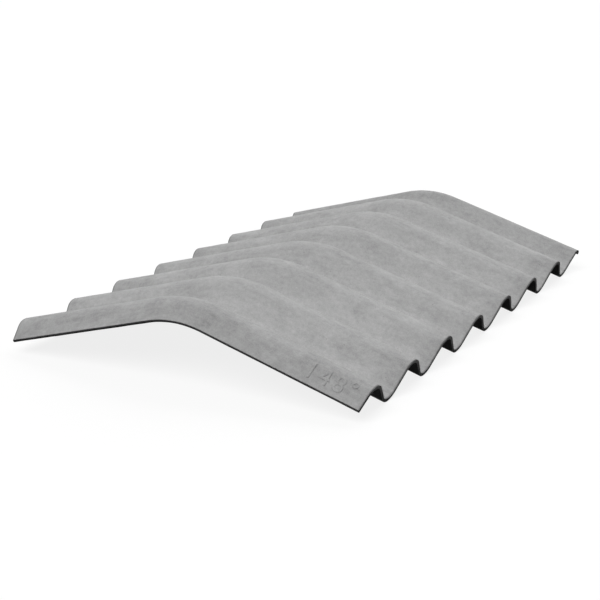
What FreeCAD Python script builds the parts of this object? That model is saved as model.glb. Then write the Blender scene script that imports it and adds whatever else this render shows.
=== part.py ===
"""Close-fitting ridge cap of corrugated fibre cement, moulded as one sheet.

The cap covers the ridge of a corrugated roof. Its two wings lie on the top sheets of
the two slopes, so its waves run down both wings and go round the ridge in an even bend.
One side edge starts low on a rising flank. The other ends in a lip that is pressed lower
than the waves and hooks down, so that the first wave of the next cap lies over it.

Frame, in millimetres: X across the ridge, Y along the ridge, Z up. The origin is on the
floor in the middle of the cap, which lies on the valleys of its two lower ends.
"""
import math
import os

import FreeCAD
import Part

# Waves, measured on the middle of the sheet
pitch = 146.5
pitch_count = 7
wave_height = 48.5
flank_length = 37.0

# Sheet
thickness = 6.5

# Wings, each measured down its slope from the line where the two slopes would meet
wing_length = 368.0
wing_slope = 16.0
bend_radius = 200.0

# Low edge: the run from it to the first crest, and the tilt of the flank at the edge
low_edge_run = 46.0
low_edge_tilt = 41.0

# Lip: how much nearer to the last valley and how much lower its crest lies than the other
# crests, the radius of that crest, and the tilt at which it ends
lip_setback = 7.0
lip_drop = 7.0
lip_radius = 17.0
lip_tilt = 62.0

# Worked out from the sizes above
half_pitch = pitch / 2
wave_radius = (half_pitch ** 2 + wave_height ** 2 - flank_length ** 2) / (4 * wave_height)
slope = math.radians(wing_slope)
hook = math.radians(lip_tilt)
ridge_axis = FreeCAD.Vector(0, 1, 0)
origin = FreeCAD.Vector(0, 0, 0)


def join_arcs(run, rise, valley_radius, crest_radius):
    """Tilt and length of the straight flank that is tangent to a valley and a crest."""
    radii = valley_radius + crest_radius
    lift = rise - radii
    length = math.sqrt(run ** 2 + lift ** 2 - radii ** 2)
    return math.atan2(lift, run) + math.atan2(radii, length), length


def low_edge():
    """Tilt at the low edge, and length of the flank from there to the first crest's arc."""
    tilt = math.radians(low_edge_tilt)
    length = (low_edge_run - wave_radius * math.sin(tilt)) / math.cos(tilt)
    if length > 0:
        return tilt, length
    return math.asin(low_edge_run / wave_radius), 0.0


def middle_strokes():
    """Strokes of the middle of the sheet, from the low edge to the lip.

    A stroke is a straight length without a turn, or the radius of an arc and its turn,
    which is positive where the sheet turns upward.
    """
    wave_tilt, flank = join_arcs(half_pitch, wave_height, wave_radius, wave_radius)
    rise_tilt, rise_flank = join_arcs(
        half_pitch - lip_setback, wave_height - lip_drop, wave_radius, lip_radius)
    edge_tilt, edge_flank = low_edge()
    strokes = [(edge_flank, 0), (wave_radius, -edge_tilt - wave_tilt), (flank, 0)]
    for _ in range(pitch_count - 1):
        strokes += [(wave_radius, 2 * wave_tilt), (flank, 0)]
        strokes += [(wave_radius, -2 * wave_tilt), (flank, 0)]
    strokes += [(wave_radius, wave_tilt + rise_tilt), (rise_flank, 0)]
    strokes += [(lip_radius, -rise_tilt - hook)]
    return [(size, turn) for size, turn in strokes if size > 0]


def onward(tilt):
    """Direction along the sheet, toward the lip."""
    return FreeCAD.Vector(0, math.cos(tilt), math.sin(tilt))


def upward(tilt):
    """Direction square to the sheet, on its upper side."""
    return FreeCAD.Vector(0, -math.sin(tilt), math.cos(tilt))


def sheet_side(distance):
    """Line at a distance over the middle of the sheet, from the low edge to the lip.

    It stands over the axis of the bend, and the first crest is at 0 along the ridge.
    """
    tilt, edge_flank = low_edge()
    below_crest = wave_radius * (1 - math.cos(tilt)) + edge_flank * math.sin(tilt)
    place = FreeCAD.Vector(0, -low_edge_run, bend_radius + wave_height / 2 - below_crest)
    edges = []
    for size, turn in middle_strokes():
        first = place + upward(tilt) * distance
        if turn:
            reach = math.copysign(size, turn)
            centre = place + upward(tilt) * reach
            crown = centre - upward(tilt + turn / 2) * (reach - distance)
            last = centre - upward(tilt + turn) * (reach - distance)
            edges.append(Part.Arc(first, crown, last).toShape())
            tilt += turn
            place = centre - upward(tilt) * reach
        else:
            place = place + onward(tilt) * size
            edges.append(Part.LineSegment(first, place + upward(tilt) * distance).toShape())
    return Part.Wire(edges)


def sheet_section():
    """Section of the sheet in the plane through the ridge."""
    upper = sheet_side(thickness / 2)
    lower = sheet_side(-thickness / 2)
    edges = upper.Edges + lower.Edges
    for end in (0, -1):
        corners = [side.OrderedVertexes[end].Point for side in (upper, lower)]
        edges.append(Part.LineSegment(*corners).toShape())
    return Part.Face(Part.Wire(Part.__sortEdges__(edges)))


def tilted(shape, degrees):
    """Copy of a shape turned about the axis of the bend, toward +X where positive."""
    turned = shape.copy()
    turned.rotate(origin, ridge_axis, degrees)
    return turned


def ridge_cap():
    """One sheet: the bend over the ridge and a straight wing on each side of it."""
    section = sheet_section()
    bend = tilted(section, -wing_slope).revolve(origin, ridge_axis, 2 * wing_slope)
    straight_length = wing_length - bend_radius * math.tan(slope)
    down_slope = FreeCAD.Vector(math.cos(slope), 0, -math.sin(slope))
    right_wing = tilted(section, wing_slope).extrude(down_slope * straight_length)
    left_wing = right_wing.mirror(origin, FreeCAD.Vector(1, 0, 0))
    cap = bend.fuse([right_wing, left_wing]).removeSplitter()
    return cap.Solids[0]


def set_on_floor(cap):
    """Move the cap so that its valleys touch the floor and the origin is in its middle."""
    low_corner = -low_edge_run - thickness / 2 * math.sin(low_edge()[0])
    lip_crest = pitch * pitch_count - lip_setback
    lip_corner = lip_crest + (lip_radius + thickness / 2) * math.sin(hook)
    slopes_meet = bend_radius / math.cos(slope)
    valley_depth = (wave_height + thickness) / 2
    floor = slopes_meet - wing_length * math.sin(slope) - valley_depth * math.cos(slope)
    cap.translate(FreeCAD.Vector(0, -(low_corner + lip_corner) / 2, -floor))


finished_cap = ridge_cap()
set_on_floor(finished_cap)
os.makedirs("parts", exist_ok=True)
finished_cap.exportStep("parts/ridge_cap.step")
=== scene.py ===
"""Looks of a corrugated fibre-cement ridge cap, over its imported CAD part.

The cap is one moulded sheet. Its waves are drawn as one line over the ridge, spun round
the bend, drawn down one wing and mirrored to the other. The sheet then gets its thickness,
its rounded sides and worn ends, the slight unevenness of a moulding and a raised number.
"""
import math

import bpy
from mathutils import Matrix, Vector


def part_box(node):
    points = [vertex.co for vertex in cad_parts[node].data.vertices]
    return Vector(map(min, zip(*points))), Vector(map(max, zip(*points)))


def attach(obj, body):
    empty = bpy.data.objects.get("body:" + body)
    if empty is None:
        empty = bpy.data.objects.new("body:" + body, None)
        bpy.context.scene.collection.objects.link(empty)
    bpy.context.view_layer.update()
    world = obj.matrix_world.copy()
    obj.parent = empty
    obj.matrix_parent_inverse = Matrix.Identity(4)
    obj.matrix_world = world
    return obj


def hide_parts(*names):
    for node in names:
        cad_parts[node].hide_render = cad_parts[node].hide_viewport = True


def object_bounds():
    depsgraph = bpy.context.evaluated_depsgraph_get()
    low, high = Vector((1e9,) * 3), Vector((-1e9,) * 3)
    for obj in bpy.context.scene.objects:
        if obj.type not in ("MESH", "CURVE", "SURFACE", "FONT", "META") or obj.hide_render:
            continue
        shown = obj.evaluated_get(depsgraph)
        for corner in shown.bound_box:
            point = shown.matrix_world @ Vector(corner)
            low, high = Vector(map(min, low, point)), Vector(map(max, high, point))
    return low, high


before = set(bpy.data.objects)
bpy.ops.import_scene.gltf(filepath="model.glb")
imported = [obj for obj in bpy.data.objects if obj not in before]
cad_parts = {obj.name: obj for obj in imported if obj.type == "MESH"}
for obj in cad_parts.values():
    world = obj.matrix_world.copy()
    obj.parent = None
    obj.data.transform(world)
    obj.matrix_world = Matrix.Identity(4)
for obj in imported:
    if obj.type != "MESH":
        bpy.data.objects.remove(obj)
cad_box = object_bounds()

bl_info = {
    "name": "Corrugated ridge cap",
    "version": (1, 0, 0),
    "blender": (4, 5, 0),
    "location": "3D View > Sidebar > Ridge Cap",
    "description": "Models a moulded fibre-cement ridge cap and a plain stage for it",
    "category": "Object",
}

NODE = "ridge_cap"
PIECE = "ridge_cap_sheet"

# Material slots of the sheet
FACE, CUT, UNDERSIDE, SIDE = range(4)

# Faces that meet at more than the first angle look sharp, and at more than the second get worn
SHARP_ANGLE = math.radians(40)
WORN_ANGLE = math.radians(50)

# A cut end faces across the ridge by more than this, and a side edge by less
END_FACING = 0.5

# Lumps of the noise that moves the sheet, and the distance at which two points are one, in metres
SWAY_LUMPS = 0.25
DENT_LUMPS = 0.035
MERGE_DISTANCE = 1e-5

# Part of the cement's own colour that still shows where it is darkened most
DARKEST = 0.05

WHITE = (1.0, 1.0, 1.0, 1.0)


class RidgeCapSheet(bpy.types.PropertyGroup):
    """Sizes of the moulded sheet, measured on the middle of its thickness."""

    pitch: bpy.props.FloatProperty(
        name="Pitch", description="Distance from crest to crest",
        default=0.1465, unit="LENGTH")
    pitch_count: bpy.props.IntProperty(
        name="Waves", description="Whole waves before the lip",
        default=7, min=1)
    wave_height: bpy.props.FloatProperty(
        name="Wave height", description="Height from valley to crest",
        default=0.0485, unit="LENGTH")
    flank_length: bpy.props.FloatProperty(
        name="Flank length", description="Straight length between two arcs of a wave",
        default=0.037, unit="LENGTH")
    thickness: bpy.props.FloatProperty(
        name="Thickness", description="Thickness of the sheet",
        default=0.0065, unit="LENGTH")
    wing_length: bpy.props.FloatProperty(
        name="Wing length", description="Slope length from where the two slopes would meet",
        default=0.368, unit="LENGTH")
    wing_slope: bpy.props.FloatProperty(
        name="Wing slope", description="Slope of each wing",
        default=math.radians(16), subtype="ANGLE")
    bend_radius: bpy.props.FloatProperty(
        name="Bend radius", description="Radius of the bend at the ridge",
        default=0.200, unit="LENGTH")
    low_edge_run: bpy.props.FloatProperty(
        name="Low edge run", description="Distance from the low side edge to the first crest",
        default=0.046, unit="LENGTH")
    low_edge_tilt: bpy.props.FloatProperty(
        name="Low edge tilt", description="Tilt of the flank at the low side edge",
        default=math.radians(41), subtype="ANGLE")
    lip_setback: bpy.props.FloatProperty(
        name="Lip setback", description="How much nearer to its valley the crest of the lip is",
        default=0.007, unit="LENGTH")
    lip_drop: bpy.props.FloatProperty(
        name="Lip drop", description="How much lower the crest of the lip is",
        default=0.007, unit="LENGTH")
    lip_radius: bpy.props.FloatProperty(
        name="Lip radius", description="Radius of the crest of the lip",
        default=0.017, unit="LENGTH")
    lip_tilt: bpy.props.FloatProperty(
        name="Lip tilt", description="Tilt at which the lip ends",
        default=math.radians(62), subtype="ANGLE")
    mesh_step: bpy.props.FloatProperty(
        name="Mesh step", description="Length of a mesh face along and across the waves",
        default=0.0050, unit="LENGTH")
    side_rounding: bpy.props.FloatProperty(
        name="Side rounding", description="Radius of the moulded rounding on the two side edges",
        default=0.0022, unit="LENGTH")
    edge_wear: bpy.props.FloatProperty(
        name="Edge wear", description="Width of the wear on the edges of the cut ends",
        default=0.0005, unit="LENGTH")
    sway: bpy.props.FloatProperty(
        name="Sway", description="How far the waves wander sideways",
        default=0.0008, unit="LENGTH")
    dents: bpy.props.FloatProperty(
        name="Dents", description="Depth of the shallow dents of the mould",
        default=0.0005, unit="LENGTH")


class RidgeCapNumber(bpy.types.PropertyGroup):
    """Raised number of degrees between the two wings."""

    height: bpy.props.FloatProperty(
        name="Height", description="Height of the figures",
        default=0.0315, unit="LENGTH")
    boldness: bpy.props.FloatProperty(
        name="Boldness", description="Growth of the strokes on each side",
        default=0.0010, unit="LENGTH")
    spacing: bpy.props.FloatProperty(
        name="Spacing", description="Spacing of the figures, where 1 is that of the type",
        default=1.25)
    run: bpy.props.FloatProperty(
        name="Run",
        description="Slope length from where the slopes meet to the middle of the number",
        default=0.300, unit="LENGTH")
    rise: bpy.props.FloatProperty(
        name="Rise",
        description="Distance along the wave from the low edge to the middle of the number",
        default=0.028, unit="LENGTH")
    relief: bpy.props.FloatProperty(
        name="Relief", description="How far the figures stand out of the sheet",
        default=0.0012, unit="LENGTH")
    grain: bpy.props.FloatProperty(
        name="Grain", description="Size of the mesh faces of the figures",
        default=0.0006, unit="LENGTH")


class RidgeCapFinish(bpy.types.PropertyGroup):
    """Colours of the bare cement, with painted shade in the dark underside and side edges."""

    face_colour: bpy.props.FloatVectorProperty(
        name="Face", description="Moulded upper face",
        default=(0.384, 0.384, 0.384), size=3, min=0, max=1, subtype="COLOR")
    cut_colour: bpy.props.FloatVectorProperty(
        name="Cut ends", description="Cut lower ends, which show the core",
        default=(0.330, 0.330, 0.330), size=3, min=0, max=1, subtype="COLOR")
    # The near-black colour of the side edges is painted shade.
    side_shaded_colour: bpy.props.FloatVectorProperty(
        name="Side edges", description="Moulded side edges, dark with dirt",
        default=(0.055, 0.055, 0.055), size=3, min=0, max=1, subtype="COLOR")
    # The underside's dark colour is painted shade.
    underside_shaded_colour: bpy.props.FloatVectorProperty(
        name="Underside", description="Rougher lower face",
        default=(0.110, 0.110, 0.110), size=3, min=0, max=1, subtype="COLOR")


class RidgeCapStage(bpy.types.PropertyGroup):
    """Camera, lamps and floor."""

    camera_place: bpy.props.FloatVectorProperty(
        name="Camera", description="Place of the camera",
        default=(1.2889, -2.4370, 0.8496), size=3, subtype="TRANSLATION")
    camera_turn: bpy.props.FloatProperty(
        name="Turn", description="Turn of the view about the vertical, from along the ridge",
        default=math.radians(28.855), subtype="ANGLE")
    camera_tilt: bpy.props.FloatProperty(
        name="Tilt", description="Tilt of the view below the horizon",
        default=math.radians(16.877), subtype="ANGLE")
    camera_roll: bpy.props.FloatProperty(
        name="Roll", description="Roll of the camera about its view",
        default=math.radians(0.424), subtype="ANGLE")
    lens: bpy.props.FloatProperty(
        name="Lens", description="Focal length in millimetres, for a 36 mm frame",
        default=85.12)
    key_strength: bpy.props.FloatProperty(
        name="Key light", description="Strength of the broad lamp in front, high up",
        default=2.5)
    key_height: bpy.props.FloatProperty(
        name="Key height", description="Height of the key light over the horizon",
        default=math.radians(52), subtype="ANGLE")
    key_turn: bpy.props.FloatProperty(
        name="Key turn", description="Turn of the key light toward the left wing",
        default=math.radians(5), subtype="ANGLE")
    back_strength: bpy.props.FloatProperty(
        name="Back light", description="Strength of the broad lamp behind, which lights the crests",
        default=1.75)
    back_height: bpy.props.FloatProperty(
        name="Back height", description="Height of the back light over the horizon",
        default=math.radians(36), subtype="ANGLE")
    end_strength: bpy.props.FloatProperty(
        name="End lights", description="Strength of the weak lamps that face the two cut ends",
        default=0.30)
    end_height: bpy.props.FloatProperty(
        name="End height", description="Height of the end lights over the horizon",
        default=math.radians(10), subtype="ANGLE")
    lamp_width: bpy.props.FloatProperty(
        name="Lamp width", description="Width of the lamps, as seen from the part",
        default=math.radians(50), subtype="ANGLE")
    sky_strength: bpy.props.FloatProperty(
        name="Sky light", description="Strength of the even light from all round",
        default=0.06)
    floor_bounce: bpy.props.FloatVectorProperty(
        name="Floor bounce", description="Colour of the floor in the light it throws back",
        default=(0.03, 0.03, 0.03), size=3, min=0, max=1, subtype="COLOR")
    shadow_depth: bpy.props.FloatProperty(
        name="Shadow depth", description="How dark the shadow on the white floor can be",
        default=0.16, min=0, max=1, subtype="FACTOR")
    floor_size: bpy.props.FloatProperty(
        name="Floor size", description="Side of the floor",
        default=60.0, unit="LENGTH")


# Shape of the sheet

def wave_radius(sizes):
    """Radius of the crests and valleys, which leaves the straight flanks their length."""
    half_pitch = sizes.pitch / 2
    square = half_pitch ** 2 + sizes.wave_height ** 2 - sizes.flank_length ** 2
    return square / (4 * sizes.wave_height)


def join_arcs(run, rise, valley_radius, crest_radius):
    """Tilt and length of the straight flank that is tangent to a valley and a crest."""
    radii = valley_radius + crest_radius
    lift = rise - radii
    length = math.sqrt(run ** 2 + lift ** 2 - radii ** 2)
    return math.atan2(lift, run) + math.atan2(radii, length), length


def first_crest(sizes):
    """Place of the first crest along the ridge, from the low side of the CAD part."""
    low_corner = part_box(NODE)[0].y
    return low_corner + sizes.thickness / 2 * math.sin(sizes.low_edge_tilt) + sizes.low_edge_run


def bend_axis_height(sizes):
    """Height of the axis of the bend, from the top of the CAD part."""
    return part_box(NODE)[1].z - (sizes.wave_height + sizes.thickness) / 2 - sizes.bend_radius


def meeting_height(sizes):
    """Height of the line where the two slopes would meet, on the middle of the waves."""
    return bend_axis_height(sizes) + sizes.bend_radius / math.cos(sizes.wing_slope)


def low_flank_length(sizes):
    """Straight length from the low edge to the arc of the first crest."""
    tilt = sizes.low_edge_tilt
    return (sizes.low_edge_run - wave_radius(sizes) * math.sin(tilt)) / math.cos(tilt)


class WavePen:
    """Draws the waves in edit mode as a chain of edges over the ridge, toward +Y."""

    def __init__(self, place, heading, step):
        self.place = place
        self.heading = heading
        self.step = step

    def upward(self):
        """Direction square to the line, on its upper side."""
        return Vector((0, -math.sin(self.heading), math.cos(self.heading)))

    def flank(self, length):
        """Straight stroke."""
        count = max(1, round(length / self.step))
        onward = Vector((0, math.cos(self.heading), math.sin(self.heading)))
        stride = onward * (length / count)
        for _ in range(count):
            bpy.ops.mesh.extrude_vertices_move(TRANSFORM_OT_translate={"value": stride})
        self.place = self.place + onward * length

    def arc(self, radius, turn):
        """Round stroke, which turns upward where the turn is positive."""
        side = math.copysign(radius, turn)
        centre = self.place + side * self.upward()
        count = max(2, round(radius * abs(turn) / self.step))
        # Spin counts its angle the other way round
        bpy.ops.mesh.spin(steps=count, angle=-turn, center=centre, axis=(1, 0, 0))
        self.heading += turn
        self.place = centre - side * self.upward()


def draw_waves(sizes):
    """Middle line of the sheet over the ridge, from the low edge to the lip."""
    radius = wave_radius(sizes)
    tilt, flank = join_arcs(sizes.pitch / 2, sizes.wave_height, radius, radius)
    lip_rise_tilt, lip_flank = join_arcs(
        sizes.pitch / 2 - sizes.lip_setback, sizes.wave_height - sizes.lip_drop,
        radius, sizes.lip_radius)
    low_tilt = sizes.low_edge_tilt
    low_flank = low_flank_length(sizes)
    edge_height = (
        bend_axis_height(sizes) + sizes.bend_radius + sizes.wave_height / 2
        - radius * (1 - math.cos(low_tilt)) - low_flank * math.sin(low_tilt))
    start = Vector((0, first_crest(sizes) - sizes.low_edge_run, edge_height))
    bpy.ops.mesh.primitive_plane_add(size=sizes.mesh_step, location=start)
    bpy.ops.object.transform_apply()
    bpy.ops.object.mode_set(mode="EDIT")
    bpy.ops.mesh.merge(type="CENTER")
    pen = WavePen(start, low_tilt, sizes.mesh_step)
    pen.flank(low_flank)
    pen.arc(radius, -low_tilt - tilt)
    for _ in range(sizes.pitch_count - 1):
        pen.flank(flank)
        pen.arc(radius, 2 * tilt)
        pen.flank(flank)
        pen.arc(radius, -2 * tilt)
    pen.flank(flank)
    pen.arc(radius, tilt + lip_rise_tilt)
    pen.flank(lip_flank)
    pen.arc(sizes.lip_radius, -lip_rise_tilt - sizes.lip_tilt)


def sweep_wing(sizes):
    """Carries the drawn line round half the bend and down the right wing."""
    slope = sizes.wing_slope
    bend_steps = max(2, round(sizes.bend_radius * slope / sizes.mesh_step))
    bpy.ops.mesh.select_all(action="SELECT")
    bpy.ops.mesh.spin(
        steps=bend_steps, angle=-slope,
        center=(0, 0, bend_axis_height(sizes)), axis=(0, 1, 0))
    straight_length = sizes.wing_length - sizes.bend_radius * math.tan(slope)
    count = round(straight_length / sizes.mesh_step)
    stride = Vector((math.cos(slope), 0, -math.sin(slope))) * (straight_length / count)
    for _ in range(count):
        bpy.ops.mesh.extrude_edges_move(TRANSFORM_OT_translate={"value": stride})


def apply_modifier(piece, kind, name, **settings):
    """Adds a modifier with these settings and applies it."""
    modifier = piece.modifiers.new(name, kind)
    for setting, value in settings.items():
        setattr(modifier, setting, value)
    bpy.context.view_layer.objects.active = piece
    bpy.ops.object.modifier_apply(modifier=modifier.name)


def cloud_texture(name, size):
    """Soft noise for a Displace modifier, with lumps of about this size."""
    texture = bpy.data.textures.new(name, "CLOUDS")
    texture.noise_scale = size
    texture.noise_depth = 2
    return texture


def face_up(piece):
    """Merges the doubles of an open sheet and turns all its faces upward."""
    bpy.ops.object.mode_set(mode="EDIT")
    bpy.ops.mesh.select_all(action="SELECT")
    bpy.ops.mesh.remove_doubles(threshold=MERGE_DISTANCE)
    bpy.ops.mesh.normals_make_consistent(inside=False)
    bpy.ops.object.mode_set(mode="OBJECT")
    total = sum(polygon.normal.z * polygon.area for polygon in piece.data.polygons)
    if total < 0:
        bpy.ops.object.mode_set(mode="EDIT")
        bpy.ops.mesh.flip_normals()
        bpy.ops.object.mode_set(mode="OBJECT")


def hold_side_edges(piece, name, fade):
    """Vertex group that leaves the side edges where they are."""
    group = piece.vertex_groups.new(name=name)
    places = [vertex.co.y for vertex in piece.data.vertices]
    low, high = min(places), max(places)
    for vertex in piece.data.vertices:
        from_edge = min(vertex.co.y - low, high - vertex.co.y)
        group.add([vertex.index], min(1.0, from_edge / fade), "REPLACE")


def mark_side_edges(sheet):
    """Own material, near black with painted shade, on the faces of the two side edges, and bevel
    weight on their long edges.
    """
    mesh = sheet.data
    materials_at = {}
    for polygon in mesh.polygons:
        if polygon.material_index == CUT and abs(polygon.normal.x) < END_FACING:
            polygon.material_index = SIDE
        for key in polygon.edge_keys:
            materials_at.setdefault(key, set()).add(polygon.material_index)
    weights = mesh.attributes.new("bevel_weight_edge", "FLOAT", "EDGE")
    for edge in mesh.edges:
        if materials_at[edge.key] in ({FACE, SIDE}, {UNDERSIDE, SIDE}):
            weights.data[edge.index].value = 1.0


def thicken_sheet(sheet, sizes):
    """Both wings, with their thickness, rounded sides, worn ends and unevenness."""
    apply_modifier(sheet, "MIRROR", "Left wing", use_axis=(True, False, False))
    face_up(sheet)
    hold_side_edges(sheet, "Free to sway", fade=sizes.pitch / 2)
    apply_modifier(
        sheet, "DISPLACE", "Sway", texture=cloud_texture("Sway", SWAY_LUMPS), direction="Y",
        strength=2 * sizes.sway, mid_level=0.5, vertex_group="Free to sway")
    sheet.vertex_groups.clear()
    apply_modifier(
        sheet, "SOLIDIFY", "Thickness", thickness=sizes.thickness, offset=0,
        use_even_offset=True, use_rim=True,
        material_offset_rim=CUT, material_offset=UNDERSIDE)
    mark_side_edges(sheet)
    # The rounded side faces take the side material, with its painted shade.
    apply_modifier(
        sheet, "BEVEL", "Rounded sides", width=sizes.side_rounding, segments=4,
        limit_method="WEIGHT", material=SIDE)
    apply_modifier(
        sheet, "BEVEL", "Worn ends", width=sizes.edge_wear, segments=2,
        limit_method="ANGLE", angle_limit=WORN_ANGLE, material=CUT)
    # A middle level of 1 only takes away, so the sheet stays inside its CAD size
    apply_modifier(
        sheet, "DISPLACE", "Dents", texture=cloud_texture("Dents", DENT_LUMPS),
        strength=sizes.dents, mid_level=1)


class RIDGE_CAP_OT_model_sheet(bpy.types.Operator):
    """Model the corrugated sheet with its two wings."""

    bl_idname = "ridge_cap.model_sheet"
    bl_label = "Model Sheet"

    def execute(self, context):
        sizes = context.scene.ridge_cap_sheet
        bpy.ops.object.select_all(action="DESELECT")
        draw_waves(sizes)
        sweep_wing(sizes)
        bpy.ops.object.mode_set(mode="OBJECT")
        sheet = context.active_object
        sheet.name = sheet.data.name = PIECE
        for material in cement_materials(context.scene.ridge_cap_finish, sizes):
            sheet.data.materials.append(material)
        thicken_sheet(sheet, sizes)
        bpy.ops.object.shade_smooth_by_angle(angle=SHARP_ANGLE)
        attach(sheet, "root")
        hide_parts(NODE)
        return {"FINISHED"}


# Raised number

def place_on_wave(sizes, rise):
    """Distance along the ridge, height and tilt at a rise along the wave from the low edge.

    The distance and height are measured from the top of the first crest.
    """
    radius = wave_radius(sizes)
    tilt = sizes.low_edge_tilt
    below_arc = low_flank_length(sizes) - rise
    if below_arc > 0:
        along = -radius * math.sin(tilt) - below_arc * math.cos(tilt)
        height = -radius * (1 - math.cos(tilt)) - below_arc * math.sin(tilt)
        return along, height, tilt
    tilt += below_arc / radius
    return -radius * math.sin(tilt), -radius * (1 - math.cos(tilt)), tilt


def number_frame(sizes, number):
    """Matrix over the sheet: X goes down the right wing, Y up the first wave and Z outward."""
    slope = sizes.wing_slope
    along, height, tilt = place_on_wave(sizes, number.rise)
    down = Vector((math.cos(slope), 0, -math.sin(slope)))
    out = Vector((math.sin(slope), 0, math.cos(slope)))
    up_wave = Vector((0, math.cos(tilt), 0)) + math.sin(tilt) * out
    slopes_meet = Vector((0, first_crest(sizes) + along, meeting_height(sizes)))
    outward = down.cross(up_wave)
    place = slopes_meet + number.run * down + (sizes.wave_height / 2 + height) * out
    turned = Matrix((down, up_wave, outward)).transposed().to_4x4()
    return Matrix.Translation(place + sizes.thickness * outward) @ turned


def cut_into_strips(first, last, step):
    """Cuts the mesh in edit mode square to the line from one point to another."""
    line = last - first
    count = max(1, round(line.length / step))
    for cut in range(1, count):
        bpy.ops.mesh.select_all(action="SELECT")
        bpy.ops.mesh.bisect(plane_co=first + line * cut / count, plane_no=line)


def flat_figures(sizes, number):
    """Flat mesh of the number, cut both ways so that it can follow the sheet."""
    bpy.ops.object.select_all(action="DESELECT")
    bpy.ops.object.text_add(location=(0, 0, 0))
    figures = bpy.context.active_object
    between_wings = math.pi - 2 * sizes.wing_slope
    figures.data.body = f"{round(math.degrees(between_wings))}°"
    figures.data.align_x = "CENTER"
    figures.data.space_character = number.spacing
    bpy.ops.object.convert(target="MESH")
    figures = bpy.context.active_object
    low = min(vertex.co.y for vertex in figures.data.vertices)
    high = max(vertex.co.y for vertex in figures.data.vertices)
    size = number.height / (high - low)
    figures.scale = (size, size, size)
    figures.location = (0, -number.height / 2 - low * size, 0)
    bpy.ops.object.transform_apply()
    bpy.ops.object.mode_set(mode="EDIT")
    bpy.ops.mesh.select_all(action="SELECT")
    bpy.ops.mesh.remove_doubles(threshold=MERGE_DISTANCE)
    half_width = figures.dimensions.x / 2
    half_height = number.height / 2
    cut_into_strips(Vector((-half_width, 0, 0)), Vector((half_width, 0, 0)), sizes.mesh_step)
    cut_into_strips(Vector((0, -half_height, 0)), Vector((0, half_height, 0)), sizes.mesh_step)
    bpy.ops.object.mode_set(mode="OBJECT")
    return figures


class RIDGE_CAP_OT_mould_number(bpy.types.Operator):
    """Mould the number of degrees into the right wing."""

    bl_idname = "ridge_cap.mould_number"
    bl_label = "Mould Number"

    def execute(self, context):
        sizes = context.scene.ridge_cap_sheet
        number = context.scene.ridge_cap_number
        sheet = bpy.data.objects[PIECE]
        figures = flat_figures(sizes, number)
        figures.matrix_world = number_frame(sizes, number)
        context.view_layer.update()
        apply_modifier(
            figures, "SHRINKWRAP", "On the sheet", target=sheet, wrap_method="PROJECT",
            use_project_z=True, use_positive_direction=False, use_negative_direction=True)
        bpy.ops.object.transform_apply()
        # The boldness also lifts the tops of the figures, so they start that much lower
        apply_modifier(
            figures, "SOLIDIFY", "Relief", thickness=number.relief,
            offset=1 - 2 * number.boldness / number.relief, use_rim=True)
        apply_modifier(figures, "REMESH", "Even faces", mode="VOXEL", voxel_size=number.grain)
        apply_modifier(figures, "DISPLACE", "Boldness", strength=number.boldness, mid_level=0)
        apply_modifier(figures, "SMOOTH", "Soft edges", iterations=4)
        bpy.ops.object.select_all(action="DESELECT")
        sheet.select_set(True)
        count_before = len(sheet.data.vertices)
        apply_modifier(
            sheet, "BOOLEAN", "Number", object=figures, operation="UNION", solver="MANIFOLD")
        bpy.data.meshes.remove(figures.data)
        if len(sheet.data.vertices) == count_before:
            raise RuntimeError("The number did not join the sheet")
        bpy.ops.object.mode_set(mode="EDIT")
        bpy.ops.mesh.select_all(action="SELECT")
        bpy.ops.mesh.dissolve_degenerate(threshold=MERGE_DISTANCE)
        bpy.ops.object.mode_set(mode="OBJECT")
        bpy.ops.object.shade_smooth_by_angle(angle=SHARP_ANGLE)
        return {"FINISHED"}


# Finish of the cement

def add_node(tree, kind, inputs=None, **settings):
    """Node with these settings, and with its inputs set or linked from other sockets."""
    node = tree.nodes.new(kind)
    for setting, value in settings.items():
        setattr(node, setting, value)
    for socket, value in (inputs or {}).items():
        if isinstance(value, bpy.types.NodeSocket):
            tree.links.new(value, node.inputs[socket])
        else:
            node.inputs[socket].default_value = value
    return node


def math_node(tree, operation, first, second=0.0):
    """Output of a Math node."""
    return add_node(tree, "ShaderNodeMath", {0: first, 1: second}, operation=operation).outputs[0]


def fade(tree, value, near, far):
    """1 at the near value, and smoothly down to 0 at the far value."""
    return add_node(
        tree, "ShaderNodeMapRange",
        {"Value": value, "From Min": near, "From Max": far, "To Min": 1.0, "To Max": 0.0},
        interpolation_type="SMOOTHSTEP").outputs["Result"]


def object_place(tree):
    """Object coordinates, in metres."""
    return add_node(tree, "ShaderNodeTexCoord").outputs["Object"]


def effect_group(name, inputs, output):
    """Empty shader group with float inputs and one float output."""
    tree = bpy.data.node_groups.new(name, "ShaderNodeTree")
    for socket, default in inputs.items():
        made = tree.interface.new_socket(socket, in_out="INPUT", socket_type="NodeSocketFloat")
        made.default_value = default
    tree.interface.new_socket(output, in_out="OUTPUT", socket_type="NodeSocketFloat")
    start = tree.nodes.new("NodeGroupInput")
    end = tree.nodes.new("NodeGroupOutput")
    return tree, start.outputs, end.inputs[output]


def cloud_group():
    """Soft light and dark patches, as one part of the colour either way."""
    tree, given, shade = effect_group("Cement clouds", {"Patch size": 0.1, "Contrast": 0.1}, "Shade")
    noise = add_node(
        tree, "ShaderNodeTexNoise",
        {"Vector": object_place(tree), "Detail": 6.0, "Roughness": 0.65,
         "Scale": math_node(tree, "DIVIDE", 1.0, given["Patch size"])})
    centred = math_node(tree, "SUBTRACT", noise.outputs["Fac"], 0.5)
    tree.links.new(math_node(tree, "MULTIPLY", centred, given["Contrast"]), shade)
    return tree


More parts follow.
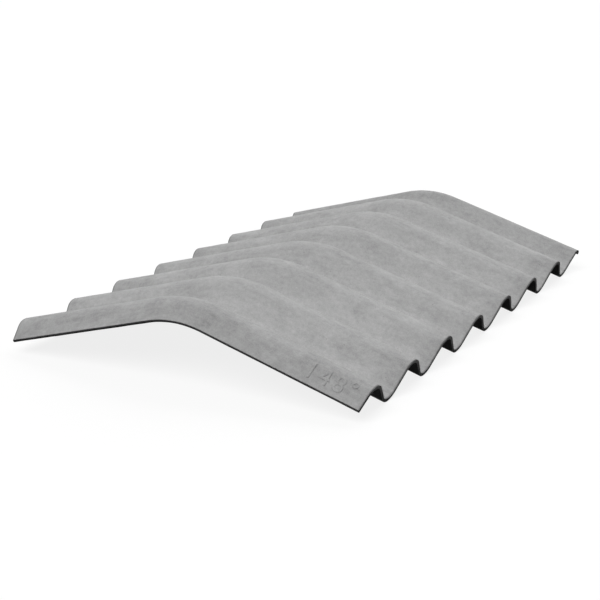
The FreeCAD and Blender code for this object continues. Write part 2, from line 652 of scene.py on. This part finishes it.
def streak_group():
    """Streaks that run down the slopes, as one part of the colour either way."""
    tree, given, shade = effect_group(
        "Run streaks", {"Spacing": 0.02, "Length": 0.2, "Contrast": 0.1}, "Shade")
    place = add_node(tree, "ShaderNodeSeparateXYZ", {"Vector": object_place(tree)}).outputs
    stretched = add_node(
        tree, "ShaderNodeCombineXYZ",
        {"X": math_node(tree, "DIVIDE", place["X"], given["Length"]),
         "Y": math_node(tree, "DIVIDE", place["Y"], given["Spacing"])})
    noise = add_node(
        tree, "ShaderNodeTexNoise",
        {"Vector": stretched.outputs[0], "Scale": 1.0, "Detail": 4.0, "Roughness": 0.65})
    centred = math_node(tree, "SUBTRACT", noise.outputs["Fac"], 0.5)
    tree.links.new(math_node(tree, "MULTIPLY", centred, given["Contrast"]), shade)
    return tree


def pit_group():
    """Scattered small pits, 1 in the middle of a pit and 0 between pits."""
    tree, given, mask = effect_group(
        "Cement pits", {"Spacing": 0.012, "Pit size": 0.0012}, "Mask")
    cells = add_node(
        tree, "ShaderNodeTexVoronoi",
        {"Vector": object_place(tree),
         "Scale": math_node(tree, "DIVIDE", 1.0, given["Spacing"])})
    distance = math_node(tree, "MULTIPLY", cells.outputs["Distance"], given["Spacing"])
    chance = add_node(tree, "ShaderNodeSeparateColor", {"Color": cells.outputs["Color"]})
    # Most cells get a pit too small to see
    rare = math_node(tree, "POWER", chance.outputs["Red"], 4.0)
    radius = math_node(tree, "MULTIPLY", rare, given["Pit size"])
    bottom = math_node(tree, "MULTIPLY", radius, 0.4)
    tree.links.new(fade(tree, distance, bottom, radius), mask)
    return tree


def grain_group():
    """Fine sandy grain, as a height."""
    tree, given, height = effect_group("Cement grain", {"Grain size": 0.002}, "Height")
    noise = add_node(
        tree, "ShaderNodeTexNoise",
        {"Vector": object_place(tree), "Detail": 4.0, "Roughness": 0.7,
         "Scale": math_node(tree, "DIVIDE", 1.0, given["Grain size"])})
    tree.links.new(noise.outputs["Fac"], height)
    return tree


def edge_darkening_group():
    """Darkening along the outer edges of the sheet, 1 at the edge and 0 past its reach."""
    tree, given, mask = effect_group(
        "Edge darkening",
        {"Half width": 0.3, "Half length": 0.5, "Eave reach": 0.06, "Side reach": 0.12}, "Mask")
    place = add_node(tree, "ShaderNodeSeparateXYZ", {"Vector": object_place(tree)}).outputs
    fading = []
    for axis, half, reach in (("X", "Half width", "Eave reach"), ("Y", "Half length", "Side reach")):
        from_middle = math_node(tree, "ABSOLUTE", place[axis])
        from_edge = math_node(tree, "SUBTRACT", given[half], from_middle)
        fading.append(fade(tree, from_edge, 0.0, given[reach]))
    tree.links.new(math_node(tree, "MAXIMUM", *fading), mask)
    return tree


def rim_group():
    """Dirt in a narrow rim along the two cut ends, 1 at the end and 0 past its reach."""
    tree, given, mask = effect_group(
        "End rims",
        {"Wing length": 0.4, "Slope": 0.3, "Meeting height": 0.1, "Reach": 0.003}, "Mask")
    place = add_node(tree, "ShaderNodeSeparateXYZ", {"Vector": object_place(tree)}).outputs
    level_run = math_node(tree, "ABSOLUTE", place["X"])
    drop = math_node(tree, "SUBTRACT", given["Meeting height"], place["Z"])
    run = math_node(
        tree, "ADD",
        math_node(tree, "MULTIPLY", level_run, math_node(tree, "COSINE", given["Slope"])),
        math_node(tree, "MULTIPLY", drop, math_node(tree, "SINE", given["Slope"])))
    from_end = math_node(tree, "SUBTRACT", given["Wing length"], run)
    tree.links.new(fade(tree, from_end, 0.0, given["Reach"]), mask)
    return tree


def valley_group():
    """Mask of the valleys of the waves, 1 along a valley and 0 along a crest."""
    tree, given, mask = effect_group(
        "Valley tone", {"Pitch": 0.15, "First crest": 0.0, "Falloff": 2.0}, "Mask")
    place = add_node(tree, "ShaderNodeSeparateXYZ", {"Vector": object_place(tree)}).outputs
    from_crest = math_node(tree, "SUBTRACT", place["Y"], given["First crest"])
    waves = math_node(tree, "DIVIDE", from_crest, given["Pitch"])
    swing = math_node(tree, "COSINE", math_node(tree, "MULTIPLY", waves, 2 * math.pi))
    depth = math_node(tree, "MULTIPLY", math_node(tree, "SUBTRACT", 1.0, swing), 0.5)
    tree.links.new(math_node(tree, "POWER", depth, given["Falloff"]), mask)
    return tree


def smudge_group():
    """Dark smudges in a band along the ridge, 1 in the middle of a smudge and 0 elsewhere."""
    tree, given, mask = effect_group(
        "Ridge smudges", {"Band middle": 0.05, "Band reach": 0.12, "Patch size": 0.05}, "Mask")
    coordinates = object_place(tree)
    place = add_node(tree, "ShaderNodeSeparateXYZ", {"Vector": coordinates}).outputs
    off_middle = math_node(tree, "SUBTRACT", place["X"], given["Band middle"])
    band = fade(tree, math_node(tree, "ABSOLUTE", off_middle), 0.0, given["Band reach"])
    noise = add_node(
        tree, "ShaderNodeTexNoise",
        {"Vector": coordinates, "Detail": 6.0, "Roughness": 0.7,
         "Scale": math_node(tree, "DIVIDE", 1.0, given["Patch size"])})
    # Only the high parts of the noise become smudges
    patches = fade(tree, noise.outputs["Fac"], 0.68, 0.45)
    tree.links.new(math_node(tree, "MULTIPLY", band, patches), mask)
    return tree


def cement_material(
        name, colour, groups, sizes,
        mottling, darkening_amount, rim_dirt, valley_tone, pitting, grain_depth, gloss,
        eave_reach=0.06, side_reach=0.12, valley_falloff=2.0):
    """Bare cement with its patches, streaks, darkened edges, valley tone, pits and grain.

    A valley tone above 0 is painted light, which makes the valleys lighter, and one below 0 makes
    them darker.
    """
    material = bpy.data.materials.new(name)
    material.use_nodes = True
    tree = material.node_tree
    shader = tree.nodes["Principled BSDF"]
    shader.inputs["Specular IOR Level"].default_value = gloss

    def effect(group, **values):
        node = add_node(tree, "ShaderNodeGroup", node_tree=groups[group])
        for socket, value in values.items():
            node.inputs[socket.replace("_", " ")].default_value = value
        return node.outputs[0]

    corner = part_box(NODE)[1]
    edges = effect(
        "darkened_edges", Half_width=corner.x, Half_length=corner.y,
        Eave_reach=eave_reach, Side_reach=side_reach)
    smudges = effect("smudges")
    rims = effect(
        "rims", Wing_length=sizes.wing_length, Slope=sizes.wing_slope,
        Meeting_height=meeting_height(sizes), Reach=0.004)
    valley_mask = effect(
        "valley_mask", Pitch=sizes.pitch, First_crest=first_crest(sizes), Falloff=valley_falloff)
    pits = effect("pits", Spacing=0.011, Pit_size=0.0018)
    grain = effect("grain", Grain_size=0.0018)
    level = 1.0
    for shade in (
            effect("clouds", Patch_size=0.16, Contrast=mottling * 0.4),
            effect("clouds", Patch_size=0.05, Contrast=mottling * 1.8),
            effect("clouds", Patch_size=0.007, Contrast=mottling * 1.4),
            effect("clouds", Patch_size=0.002, Contrast=mottling * 2.0),
            effect("streaks", Spacing=0.02, Length=0.12, Contrast=mottling * 1.1),
            effect("streaks", Spacing=0.007, Length=0.022, Contrast=mottling * 1.4),
            math_node(tree, "MULTIPLY", edges, -darkening_amount),
            math_node(tree, "MULTIPLY", smudges, -darkening_amount),
            math_node(tree, "MULTIPLY", rims, -rim_dirt),
            math_node(tree, "MULTIPLY", valley_mask, valley_tone),
            math_node(tree, "MULTIPLY", pits, -pitting)):
        level = math_node(tree, "ADD", level, shade)
    level = math_node(tree, "MAXIMUM", level, DARKEST)
    tinted = add_node(
        tree, "ShaderNodeVectorMath", {0: colour, "Scale": level}, operation="SCALE")
    tree.links.new(tinted.outputs[0], shader.inputs["Base Color"])
    roughness = math_node(tree, "ADD", math_node(tree, "MULTIPLY", grain, 0.12), 0.82)
    tree.links.new(roughness, shader.inputs["Roughness"])
    relief = math_node(tree, "SUBTRACT", math_node(tree, "MULTIPLY", grain, 0.6), pits)
    bump = add_node(
        tree, "ShaderNodeBump", {"Height": relief, "Strength": 0.5, "Distance": grain_depth})
    tree.links.new(bump.outputs["Normal"], shader.inputs["Normal"])
    return material


def cement_materials(finish, sizes):
    """Materials of the sheet, in the order of its slots."""
    groups = {
        "clouds": cloud_group(),
        "streaks": streak_group(),
        "pits": pit_group(),
        "grain": grain_group(),
        "darkened_edges": edge_darkening_group(),
        "rims": rim_group(),
        "valley_mask": valley_group(),
        "smudges": smudge_group(),
    }
    return [
        # On the face the valley tone is painted light: the valleys are painted lighter than the
        # crests as wave shading.
        cement_material(
            "Moulded cement", finish.face_colour, groups, sizes,
            mottling=0.30, darkening_amount=0.10, rim_dirt=0.70, valley_tone=0.10, pitting=0.25,
            grain_depth=0.0010, gloss=0.25),
        # Cut ends: the strong edge darkening makes the ends of the lip and of the low edge dark, and
        # the negative valley tone darkens the ends towards the valleys.
        cement_material(
            "Cut cement", finish.cut_colour, groups, sizes,
            mottling=0.50, darkening_amount=1.20, rim_dirt=0.0, valley_tone=-0.75, pitting=0.50,
            grain_depth=0.0012, gloss=0.05,
            eave_reach=0.001, side_reach=0.05, valley_falloff=0.7),
        # The underside's dark colour is painted shade.
        cement_material(
            "Shade-painted underside cement", finish.underside_shaded_colour, groups, sizes,
            mottling=0.50, darkening_amount=0.10, rim_dirt=0.0, valley_tone=0.0, pitting=0.40,
            grain_depth=0.0010, gloss=0.05),
        # The near-black colour of the side edges is painted shade.
        cement_material(
            "Shade-painted side cement", finish.side_shaded_colour, groups, sizes,
            mottling=0.50, darkening_amount=0.0, rim_dirt=0.0, valley_tone=0.0, pitting=0.40,
            grain_depth=0.0010, gloss=0.05),
    ]


# Stage

def seen_directly(tree):
    """1 for what the camera sees, also in metal or through glass, and 0 for other light."""
    path = add_node(tree, "ShaderNodeLightPath").outputs
    mirrored = math_node(tree, "MAXIMUM", path["Is Camera Ray"], path["Is Glossy Ray"])
    return math_node(tree, "MAXIMUM", mirrored, path["Is Transmission Ray"])


def floor_material(stage):
    """White floor that keeps a soft shadow and throws little light back up."""
    material = bpy.data.materials.new("Pale floor")
    material.use_nodes = True
    tree = material.node_tree
    tree.nodes.clear()
    glow = add_node(tree, "ShaderNodeEmission", {"Color": WHITE, "Strength": 1.0})
    shaded = add_node(tree, "ShaderNodeBsdfDiffuse", {"Color": WHITE})
    bounce = add_node(tree, "ShaderNodeBsdfDiffuse", {"Color": (*stage.floor_bounce, 1.0)})
    shown = add_node(
        tree, "ShaderNodeMixShader",
        {0: stage.shadow_depth, 1: glow.outputs[0], 2: shaded.outputs[0]})
    mixed = add_node(
        tree, "ShaderNodeMixShader",
        {0: seen_directly(tree), 1: bounce.outputs[0], 2: shown.outputs[0]})
    add_node(tree, "ShaderNodeOutputMaterial", {"Surface": mixed.outputs[0]})
    return material


def light_world(scene, stage):
    """White backdrop, and an even light of its own strength."""
    world = bpy.data.worlds.new("Studio")
    world.use_nodes = True
    tree = world.node_tree
    tree.nodes.clear()
    sky = add_node(
        tree, "ShaderNodeBackground", {"Color": WHITE, "Strength": stage.sky_strength})
    backdrop = add_node(tree, "ShaderNodeBackground", {"Color": WHITE, "Strength": 1.0})
    mixed = add_node(
        tree, "ShaderNodeMixShader",
        {0: seen_directly(tree), 1: sky.outputs[0], 2: backdrop.outputs[0]})
    add_node(tree, "ShaderNodeOutputWorld", {"Surface": mixed.outputs[0]})
    scene.world = world


def add_lamp(name, rotation, strength, width):
    """Broad sun, which shines straight down before its rotation."""
    bpy.ops.object.light_add(type="SUN", rotation=rotation)
    lamp = bpy.context.active_object
    lamp.name = name
    lamp.data.energy = strength
    lamp.data.angle = width


def set_camera(scene, stage):
    """Camera at the viewing angle of the part's picture."""
    bpy.ops.object.camera_add(location=stage.camera_place)
    camera = bpy.context.active_object
    camera.name = "Camera"
    turn = Matrix.Rotation(stage.camera_turn, 4, "Z")
    tilt = Matrix.Rotation(math.pi / 2 - stage.camera_tilt, 4, "X")
    roll = Matrix.Rotation(stage.camera_roll, 4, "Z")
    camera.matrix_world = Matrix.Translation(stage.camera_place) @ turn @ tilt @ roll
    camera.data.lens = stage.lens
    camera.data.sensor_width = 36.0
    camera.data.clip_end = 200.0
    scene.camera = camera


class RIDGE_CAP_OT_set_stage(bpy.types.Operator):
    """Set the floor, the lights and the camera."""

    bl_idname = "ridge_cap.set_stage"
    bl_label = "Set Stage"

    def execute(self, context):
        scene = context.scene
        stage = scene.ridge_cap_stage
        bpy.ops.object.select_all(action="DESELECT")
        bpy.ops.mesh.primitive_plane_add(size=stage.floor_size, location=(0, 0, cad_box[0].z))
        floor = context.active_object
        floor.name = floor.data.name = "floor"
        floor.data.materials.append(floor_material(stage))
        light_world(scene, stage)
        width = stage.lamp_width
        key_lean = math.pi / 2 - stage.key_height
        back_lean = math.pi / 2 - stage.back_height
        end_lean = math.pi / 2 - stage.end_height
        add_lamp("Key light", (key_lean, 0, -stage.key_turn), stage.key_strength, width)
        add_lamp("Back light", (-back_lean, 0, 0), stage.back_strength, width)
        add_lamp("Right end light", (0, end_lean, 0), stage.end_strength, width)
        add_lamp("Left end light", (0, -end_lean, 0), stage.end_strength, width)
        set_camera(scene, stage)
        scene.view_settings.view_transform = "Standard"
        return {"FINISHED"}


class RIDGE_CAP_PT_panel(bpy.types.Panel):
    """Sizes, colours and making of the ridge cap."""

    bl_idname = "RIDGE_CAP_PT_panel"
    bl_label = "Ridge Cap"
    bl_space_type = "VIEW_3D"
    bl_region_type = "UI"
    bl_category = "Ridge Cap"

    def draw(self, context):
        for group, operator in (
                ("ridge_cap_sheet", RIDGE_CAP_OT_model_sheet),
                ("ridge_cap_number", RIDGE_CAP_OT_mould_number),
                ("ridge_cap_finish", None),
                ("ridge_cap_stage", RIDGE_CAP_OT_set_stage)):
            settings = getattr(context.scene, group)
            column = self.layout.column(align=True)
            for name in settings.__annotations__:
                column.prop(settings, name)
            if operator:
                column.operator(operator.bl_idname)
            self.layout.separator()


SETTINGS = {
    "ridge_cap_sheet": RidgeCapSheet,
    "ridge_cap_number": RidgeCapNumber,
    "ridge_cap_finish": RidgeCapFinish,
    "ridge_cap_stage": RidgeCapStage,
}
TOOLS = (
    RIDGE_CAP_OT_model_sheet,
    RIDGE_CAP_OT_mould_number,
    RIDGE_CAP_OT_set_stage,
    RIDGE_CAP_PT_panel,
)


def register():
    for group, settings in SETTINGS.items():
        bpy.utils.register_class(settings)
        setattr(bpy.types.Scene, group, bpy.props.PointerProperty(type=settings))
    for tool in TOOLS:
        bpy.utils.register_class(tool)


def unregister():
    for tool in reversed(TOOLS):
        bpy.utils.unregister_class(tool)
    for group, settings in SETTINGS.items():
        delattr(bpy.types.Scene, group)
        bpy.utils.unregister_class(settings)


def main():
    register()
    bpy.ops.ridge_cap.model_sheet()
    bpy.ops.ridge_cap.mould_number()
    bpy.ops.ridge_cap.set_stage()
    bpy.context.view_layer.update()


if __name__ == "__main__":
    main()
